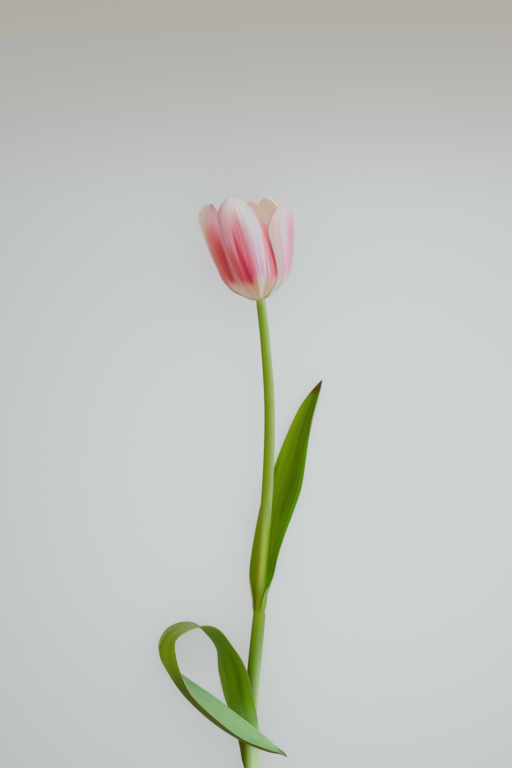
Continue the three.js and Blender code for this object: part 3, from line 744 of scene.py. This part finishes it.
# A petal's angles go round the bloom's axis in degrees: 0 faces up and 90 faces right. Its ring is how
# far it stands outside the cup. Each side has its half angle at the root, its full half angle, the
# share of the length above which it narrows, and how much wider it is at mid-length.
PETALS = {
    "petal_front": {
        "ring": 0.7, "root_ring": 0.1, "height": 60, "root_angle": -10, "angle": -16,
        "left": [18, 22, 0.88, 2], "right": [29, 31, 0.74, 0],
        "bulge": 2.4, "blunt": 0.5, "hug": [0.8, 0.46], "flare": 0, "beak": 0, "waves": 1.5, "phase": 0.4,
        "ground": [
            (0.0, dye(184, 164, 124)), (0.12, dye(190, 165, 134)), (0.3, dye(188, 154, 120)),
            (0.38, dye(192, 142, 116)), (0.46, dye(206, 150, 166)), (0.8, dye(206, 152, 166)),
            (0.9, dye(200, 182, 176)), (1.0, dye(194, 190, 182)),
        ],
        "flames": [
            (dye(205, 204, 204), 0.95, (1.25, 0.5), (0.1, 1.08), 0.45, 1.0, 0.1, 0.1),
            (dye(210, 186, 198), 0.75, (0.85, 0.43), (0.8, 0.78), 0.42, 0.36, 0.06, 0.1),
            (dye(207, 154, 170), 0.8, (0.5, 0.43), (0.15, 0.88), 0.42, 0.42, 0.06, 0.08),
            (dye(208, 76, 108), 0.92, (0.18, 0.43), (0.1, 0.74), 0.44, 0.32, 0.06, 0.16),
            (dye(207, 112, 124), 0.8, (0.05, 0.6), (0.06, 0.88), 0.34, 0.24, 0.12, 0.1),
            (dye(200, 80, 90), 0.95, (-0.52, 0.405), (-0.55, 0.78), 0.9, 0.65, 0.05, 0.12),
            (dye(198, 142, 154), 0.85, (-0.8, 0.72), (-0.9, 0.97), 0.5, 0.4, 0.08, 0.03),
            (dye(208, 150, 162), 0.75, (-0.36, 0.62), (-0.42, 0.9), 0.2, 0.2, 0.1, 0.06),
            (dye(182, 108, 136), 0.6, (-0.85, 0.84), (-0.98, 0.97), 0.16, 0.12, 0.05, 0.02),
            (dye(184, 44, 44), 0.9, (-0.66, 0.41), (-0.74, 0.68), 0.45, 0.32, 0.07, 0.1),
            (dye(200, 95, 82), 0.7, (-1.0, 0.64), (-1.0, 0.84), 0.3, 0.3, 0.06, 0.06),
            (dye(200, 84, 98), 0.6, (-0.28, 0.41), (-0.34, 0.7), 0.16, 0.12, 0.05, 0.1),
            (dye(182, 26, 58), 0.97, (-0.02, 0.4), (-0.19, 0.78), 0.42, 0.13, 0.05, 0.1),
            (dye(170, 6, 44), 0.92, (0.0, 0.405), (-0.11, 0.62), 0.3, 0.12, 0.05, 0.08),
            (dye(206, 200, 192), 0.9, (0.52, 0.1), (0.72, 0.45), 0.28, 0.42, 0.06, 0.06),
            (dye(216, 196, 198), 0.6, (-0.97, 0.44), (-0.97, 0.96), 0.06, 0.06, 0.04, 0.02),
            (dye(218, 214, 216), 0.6, (0.72, 0.36), (0.62, 0.7), 0.045, 0.045, 0.06, 0.06),
            (dye(190, 150, 164), 0.5, (0.79, 0.42), (0.7, 0.68), 0.03, 0.03, 0.06, 0.06),
        ],
        "glow": 0.04,
    },
    "petal_right": {
        "ring": 0.7, "root_ring": 0.1, "height": 55.3, "root_angle": 98, "angle": 67,
        "left": [47, 51, 0.76, -4], "right": [48, 52, 0.72, 0],
        "bulge": 2.4, "blunt": 1, "hug": [0.46, 0.8], "flare": 0, "beak": 0, "waves": 2, "phase": 2.1,
        "ground": [
            (0.0, dye(190, 188, 162)), (0.2, dye(198, 196, 186)), (0.33, dye(200, 190, 184)),
            (0.44, dye(207, 176, 186)), (0.85, dye(207, 178, 190)), (0.94, dye(196, 194, 194)),
            (1.0, dye(194, 194, 192)),
        ],
        "flames": [
            (dye(202, 196, 198), 0.6, (0.6, 0.4), (0.5, 0.9), 0.35, 0.3, 0.05, 0.08),
            (dye(206, 158, 178), 0.75, (-0.2, 0.43), (-0.1, 0.86), 0.5, 0.36, 0.06, 0.08),
            (dye(196, 194, 195), 0.9, (-0.62, 0.66), (-0.45, 1.0), 0.2, 0.46, 0.12, 0.05),
            (dye(198, 180, 172), 0.85, (-1.0, 0.42), (-0.95, 0.88), 0.4, 0.36, 0.06, 0.06),
            (dye(200, 100, 130), 0.7, (0.6, 0.43), (0.5, 0.78), 0.3, 0.15, 0.04, 0.08),
        ],
        "glow": 0.04,
    },
    "petal_back": {
        "ring": 0.3, "root_ring": 0.1, "height": 57, "root_angle": -130, "angle": -160,
        "left": [50, 44, 0.6, 0], "right": [32, 60, 0.5, 0],
        "bulge": 2, "blunt": 0.8, "hug": [0.7, 0.46], "flare": 0, "beak": 0, "waves": 2, "phase": 1.2,
        "ground": [
            (0.0, dye(184, 164, 124)), (0.12, dye(190, 168, 138)), (0.32, dye(190, 160, 130)),
            (0.44, dye(206, 156, 168)), (0.82, dye(207, 166, 178)), (0.93, dye(205, 194, 186)),
            (1.0, dye(202, 198, 190)),
        ],
        "flames": [
            (dye(206, 106, 128), 0.8, (0.0, 0.42), (0.0, 0.86), 0.75, 0.5, 0.04, 0.08),
            (dye(184, 54, 56), 0.9, (-0.45, 0.42), (-0.35, 0.76), 0.3, 0.15, 0.03, 0.08),
            (dye(180, 28, 60), 0.9, (0.1, 0.42), (0.05, 0.82), 0.3, 0.12, 0.03, 0.08),
            (dye(186, 60, 58), 0.7, (0.62, 0.42), (0.5, 0.72), 0.2, 0.1, 0.03, 0.08),
            (dye(204, 198, 182), 0.9, (1.0, 0.54), (0.9, 1.0), 0.3, 0.5, 0.05, 0.05),
            (dye(150, 44, 40), 0.95, (1.0, 0.26), (1.0, 0.54), 0.3, 0.25, 0.06, 0.04),
        ],
        "glow": 0.12,
    },
    "petal_left": {
        "ring": -0.7, "root_ring": -0.9, "height": 58, "root_angle": -62, "angle": -49,
        "left": [44, 51, 0.82, 0], "right": [44, 26, 0.62, 0],
        "bulge": 2.6, "blunt": 0.6, "hug": [0, 0], "flare": 2.4, "beak": 0.9, "waves": 2, "phase": 0.2,
        "ground": [
            (0.0, dye(188, 170, 142)), (0.15, dye(194, 174, 156)), (0.32, dye(196, 168, 152)),
            (0.43, dye(196, 134, 130)), (0.53, dye(194, 110, 112)), (0.82, dye(204, 126, 128)),
            (0.9, dye(207, 160, 166)), (1.0, dye(207, 160, 170)),
        ],
        "flames": [
            (dye(196, 189, 170), 0.97, (-0.85, 0.58), (-0.8, 1.1), 0.5, 1.0, 0.12, 0.05),
            (dye(192, 106, 112), 0.7, (-0.6, 0.43), (-0.55, 0.6), 0.3, 0.3, 0.03, 0.06),
            (dye(206, 104, 92), 0.6, (-0.25, 0.6), (-0.1, 0.88), 0.5, 0.45, 0.06, 0.06),
            (dye(188, 60, 52), 0.92, (0.0, 0.43), (0.1, 0.76), 0.6, 0.5, 0.065, 0.14),
            (dye(192, 38, 42), 0.7, (0.05, 0.58), (0.15, 0.78), 0.32, 0.3, 0.08, 0.06),
            # Partly a deep red flame and partly painted shadow that the front petal's margin casts.
            (dye(160, 28, 40), 0.85, (0.18, 0.43), (0.32, 0.74), 0.3, 0.18, 0.055, 0.08),
            (dye(184, 96, 130), 0.75, (0.7, 0.97), (0.3, 1.05), 0.7, 0.5, 0.012, 0.03),
        ],
        "glow": 0.04,
    },
    "petal_front_right": {
        "ring": -0.3, "root_ring": -0.9, "height": 55.4, "root_angle": 25, "angle": 7.5,
        "left": [20, 20, 0.7, 0], "right": [58, 28, 0.74, 0],
        "bulge": 2, "blunt": 0.6, "hug": [0, 0], "flare": 0, "beak": 0, "waves": 1.5, "phase": 2.6,
        "ground": [
            (0.0, dye(188, 172, 134)), (0.25, dye(196, 174, 146)), (0.36, dye(200, 168, 150)),
            (0.5, dye(207, 152, 166)), (0.8, dye(205, 158, 164)), (0.9, dye(188, 171, 156)),
            (1.0, dye(187, 172, 156)),
        ],
        "flames": [
            (dye(184, 169, 152), 0.95, (0.8, 0.82), (0.6, 1.1), 0.4, 0.75, 0.06, 0.05),
            (dye(208, 186, 192), 0.7, (0.16, 0.43), (0.2, 0.9), 0.1, 0.14, 0.04, 0.05),
            (dye(182, 42, 70), 0.8, (-0.4, 0.42), (-0.35, 0.8), 0.35, 0.2, 0.03, 0.08),
            (dye(210, 118, 118), 0.8, (0.42, 0.74), (0.4, 0.87), 0.22, 0.18, 0.05, 0.05),
            (dye(205, 110, 126), 0.8, (0.42, 0.42), (0.36, 0.74), 0.22, 0.2, 0.05, 0.08),
            (dye(196, 26, 46), 0.98, (0.6, 0.43), (0.43, 0.76), 0.2, 0.13, 0.07, 0.08),
            (dye(206, 188, 191), 0.8, (-0.1, 0.84), (-0.05, 1.06), 0.3, 0.4, 0.04, 0.03),
            (dye(192, 132, 136), 0.7, (-0.1, 0.965), (0.0, 1.05), 0.5, 0.5, 0.015, 0.03),
        ],
        "glow": 0.06,
    },
    "petal_back_inner": {
        "ring": -1.0, "root_ring": -0.9, "height": 58.3, "root_angle": 170, "angle": 147,
        "left": [44, 46, 0.5, 0], "right": [44, 44, 0.4, 0],
        "bulge": 2, "blunt": 0.65, "hug": [0, 0], "flare": 0, "beak": 0, "waves": 2.5, "phase": 0.9,
        "ground": [
            (0.0, dye(188, 168, 134)), (0.32, dye(196, 172, 146)), (0.44, dye(208, 164, 168)),
            (0.72, dye(212, 186, 182)), (0.84, dye(220, 212, 200)), (1.0, dye(222, 214, 200)),
        ],
        "flames": [
            (dye(186, 62, 62), 0.8, (0.0, 0.42), (0.0, 0.74), 0.4, 0.2, 0.03, 0.08),
            (dye(200, 172, 136), 0.3, (0.8, 0.93), (0.6, 1.05), 0.5, 0.5, 0.03, 0.03),
        ],
        "glow": 0.1,
    },
}

for seed, (node, petal) in enumerate(PETALS.items()):
    skin = petal_finish(
        node.replace("_", " "), petal["ground"], petal["flames"], petal["glow"], 50 + 5 * seed
    )
    petal_mesh = new_sheet()
    lay_grid(petal_mesh, 44, 60, lambda u, t: petal_point(petal, u, t))
    margin = [vert.index for vert in petal_mesh.verts if vert.is_boundary]
    name = "fine_" + node
    fine_petal = flower_piece(name, petal_mesh, [skin], [node])
    group = fine_petal.vertex_groups.new(name="flesh")
    group.add(range(len(fine_petal.data.vertices)), 1.0, "REPLACE")
    group.add(margin, 0.0, "REPLACE")
    flesh = fine_petal.modifiers.new("flesh", "SOLIDIFY")
    flesh.thickness = PETAL_THICKNESS * MILLIMETRE
    flesh.offset = 0
    flesh.vertex_group = "flesh"
    flesh.thickness_vertex_group = PETAL_EDGE_SHARE
    refined(fine_petal, 1)

# ---- Pistil ----
# The seed case stands in the middle of the bloom, three-sided and pale green, under a cream stigma
# of three folded lobes. It grows from the seat.

PISTIL_FOOT = 3.6
STIGMA_TOP = 22.5
STIGMA_DIP = 0.8
LOBES = 3
FRILLS = 27
FRILL_HEIGHT = 0.12
# [share of the height, radius, how far the three lobes stand out].
PISTIL = [
    [0, 1.6, 0.05],
    [0.2, 2.2, 0.12],
    [0.45, 2.6, 0.16],
    [0.68, 2.5, 0.16],
    [0.78, 2.1, 0.16],
    [0.82, 2.6, 0.3],
    [0.9, 3.5, 0.34],
    [0.97, 3.2, 0.34],
    [1, 0.02, 0.0],
]


def pistil_point(u, t):
    angle = math.pi * u
    radius = along(PISTIL, 1, t) * (1 + along(PISTIL, 2, t) * math.cos(LOBES * angle))
    frill = FRILL_HEIGHT * math.sin(FRILLS * angle) * eased(0.8, 0.88, t) * eased(0, 0.06, 1 - t)
    height = PISTIL_FOOT + (STIGMA_TOP - PISTIL_FOOT) * t
    dip = STIGMA_DIP * eased(0.93, 1, t)
    return in_bloom(height - dip, max(radius + frill, 0), angle)


pistil_mesh = new_sheet()
lay_grid(pistil_mesh, 54, 56, pistil_point)
closed(pistil_mesh)
pistil_finish, start, around, up_pistil = new_finish("pistil skin")
speckle = start.streaks(around, up_pistil, 60.0, 60.0, 90)
colour = speckle.over(dye(150, 176, 92), dye(176, 196, 118))
stigma = up_pistil.rising(0.79, 0.83)
colour = stigma.over(colour, speckle.over(dye(222, 214, 160), dye(238, 232, 190)))
relief = start.node("ShaderNodeBump", {}, {"Strength": 0.5, "Distance": 0.0003, "Height": speckle})
skin = start.node(
    "ShaderNodeBsdfPrincipled",
    {},
    {"Base Color": colour, "Roughness": 0.45 + 0.25 * stigma, "Specular IOR Level": 0.3, "Normal": relief},
)
start.node("ShaderNodeOutputMaterial", {}, {"Surface": skin})
pistil = flower_piece("seed_case", pistil_mesh, [pistil_finish], ["pistil"])
refined(pistil, 1)

# ---- Stamens ----
# Six pale filaments rise round the seed case, and each carries a long yellow anther split by a
# groove and dusted with pollen.

STAMENS = 6
FILAMENT_FOOT = 3.4
FILAMENT_TOP = 13.0
FILAMENT_ROOT_RADIUS = 2.5
FILAMENT_TOP_RADIUS = 6.0
FILAMENT_HALF_WIDTH = 0.75
FILAMENT_TAPER = 0.3
FILAMENT_FLATNESS = 0.6
ANTHER_LENGTH = 9.5
ANTHER_LEAN = 0.6
ANTHER_HALF_WIDTH = 1.1
ANTHER_GROOVE = 0.22
ANTHER_FLATNESS = 0.85
ANTHER_OVERLAP = 1


def rod_point(foot, head, width, flat, sideways, u, t):
    """A point on a rod from foot to head whose width follows its length, flattened by a share."""
    angle = math.pi * u
    onward = (head - foot).normalized()
    depth = onward.cross(sideways).normalized()
    reach = sideways * (math.cos(angle) * width) + depth * (math.sin(angle) * width * flat)
    return foot.lerp(head, t) + reach


def filament_width(t):
    return FILAMENT_HALF_WIDTH - FILAMENT_TAPER * t


def anther_width(u, t):
    rounded = math.sqrt(max(1 - (2 * t - 1) ** 4, 0))
    return ANTHER_HALF_WIDTH * rounded * (1 - ANTHER_GROOVE * math.cos(2 * math.pi * u) ** 8)


filament_mesh = new_sheet()
anther_mesh = new_sheet()
for k in range(STAMENS):
    angle = (k + 0.5) * 2 * math.pi / STAMENS
    sideways = BLOOM_RIGHT * math.cos(angle) - BLOOM_FRONT * math.sin(angle)
    root = in_bloom(FILAMENT_FOOT, FILAMENT_ROOT_RADIUS, angle)
    top = in_bloom(FILAMENT_TOP, FILAMENT_TOP_RADIUS, angle)
    lay_grid(
        filament_mesh, 12, 16,
        lambda u, t: rod_point(root, top, filament_width(t), FILAMENT_FLATNESS, sideways, u, t),
    )
    anther_foot = FILAMENT_TOP - ANTHER_OVERLAP
    low = in_bloom(anther_foot, FILAMENT_TOP_RADIUS, angle)
    high = in_bloom(anther_foot + ANTHER_LENGTH, FILAMENT_TOP_RADIUS + ANTHER_LEAN, angle)
    lay_grid(
        anther_mesh, 20, 20,
        lambda u, t: rod_point(low, high, anther_width(u, t), ANTHER_FLATNESS, sideways, u, t),
    )
closed(filament_mesh)
closed(anther_mesh)
bmesh.ops.holes_fill(filament_mesh, edges=[e for e in filament_mesh.edges if e.is_boundary], sides=0)

filament_finish, start, across, up_filament = new_finish("filament skin")
threads = start.streaks(across, up_filament, 14.0, 3.0, 95)
colour = up_filament.rising(0.0, 0.5).over(dye(206, 212, 160), dye(232, 228, 206))
colour = (threads * 0.2).over(colour, dye(170, 176, 120))
skin = start.node("ShaderNodeBsdfPrincipled", {}, {"Base Color": colour, "Roughness": 0.4 + 0.2 * threads})
start.node("ShaderNodeOutputMaterial", {}, {"Surface": skin})
flower_piece("filaments", filament_mesh, [filament_finish], ["stamens"])

pollen_finish, start = new_finish("pollen")[:2]
place = start.node("ShaderNodeTexCoord", {}, {}, 3)
dust = start.node("ShaderNodeTexNoise", {}, {"Vector": place, "Scale": 3500.0, "Detail": 3.0})
colour = dust.rising(0.35, 0.65).over(dye(164, 128, 54), dye(222, 192, 104))
relief = start.node("ShaderNodeBump", {}, {"Strength": 0.8, "Distance": 0.0002, "Height": dust})
skin = start.node(
    "ShaderNodeBsdfPrincipled",
    {},
    {"Base Color": colour, "Roughness": 0.75 + 0.2 * dust, "Normal": relief},
)
start.node("ShaderNodeOutputMaterial", {}, {"Surface": skin})
anthers = flower_piece("anthers", anther_mesh, [pollen_finish], ["stamens"])
refined(anthers, 1)

# ---- Table and light ----
# A plain pale table top under the flower, with painted shade that darkens it a little with distance and on
# its far end, with a very large soft light on the right and an even light from all round.

table_mesh = bmesh.new()
bmesh.ops.create_grid(table_mesh, x_segments=1, y_segments=1, size=4)
mesh = bpy.data.meshes.new("table")
table_mesh.to_mesh(mesh)
table_mesh.free()
table = bpy.data.objects.new("table", mesh)
scene.collection.objects.link(table)
table_finish = bpy.data.materials.new("table top")
table_finish.use_nodes = True
table_finish.node_tree.nodes.clear()
start = Tone(table_finish.node_tree)
place = start.node("ShaderNodeTexCoord", {}, {}, 3)
away = start.node("ShaderNodeVectorMath", {"operation": "DISTANCE"}, {0: place, 1: (0.065, 0.026, 0.0)}, 1)
up = start.node("ShaderNodeSeparateXYZ", {}, {0: place}, 1)
# Painted shade: the table darkens with distance from the flower.
colour = away.rising(0.05, 0.44).over(dye(207, 210, 210), dye(175, 178, 178))
# Painted shade: a warm grey on the table's far end.
colour = (up.rising(0.17, 0.31) * 0.85).over(colour, dye(176, 171, 162))
lit = start.node("ShaderNodeVectorMath", {"operation": "SCALE"}, {0: colour, "Scale": 0.27})
plain = start.node(
    "ShaderNodeBsdfPrincipled",
    {},
    {
        "Base Color": lit,
        "Roughness": 0.8,
        "Specular IOR Level": 0.1,
        "Emission Color": colour,
        "Emission Strength": 0.723,
    },
)
start.node("ShaderNodeOutputMaterial", {}, {"Surface": plain})
mesh.materials.append(table_finish)

softbox = bpy.data.lights.new("softbox", "AREA")
softbox.shape = "RECTANGLE"
softbox.size = 2.6
softbox.size_y = 2.6
softbox.energy = 13
softbox.color = (1.0, 0.99, 0.97)
softbox_stand = bpy.data.objects.new("softbox", softbox)
softbox_stand.location = (1.25, 0.3, 1.25)
aim = Vector((0.0, 0.0, 0.0)) - Vector(softbox_stand.location)
softbox_stand.rotation_euler = aim.to_track_quat("-Z", "Y").to_euler()
softbox_stand.visible_camera = False
scene.collection.objects.link(softbox_stand)

world = bpy.data.worlds.new("room")
world.use_nodes = True
room = world.node_tree.nodes["Background"]
room.inputs["Color"].default_value = (0.95, 0.975, 1.0, 1)
room.inputs["Strength"].default_value = 0.86
scene.world = world
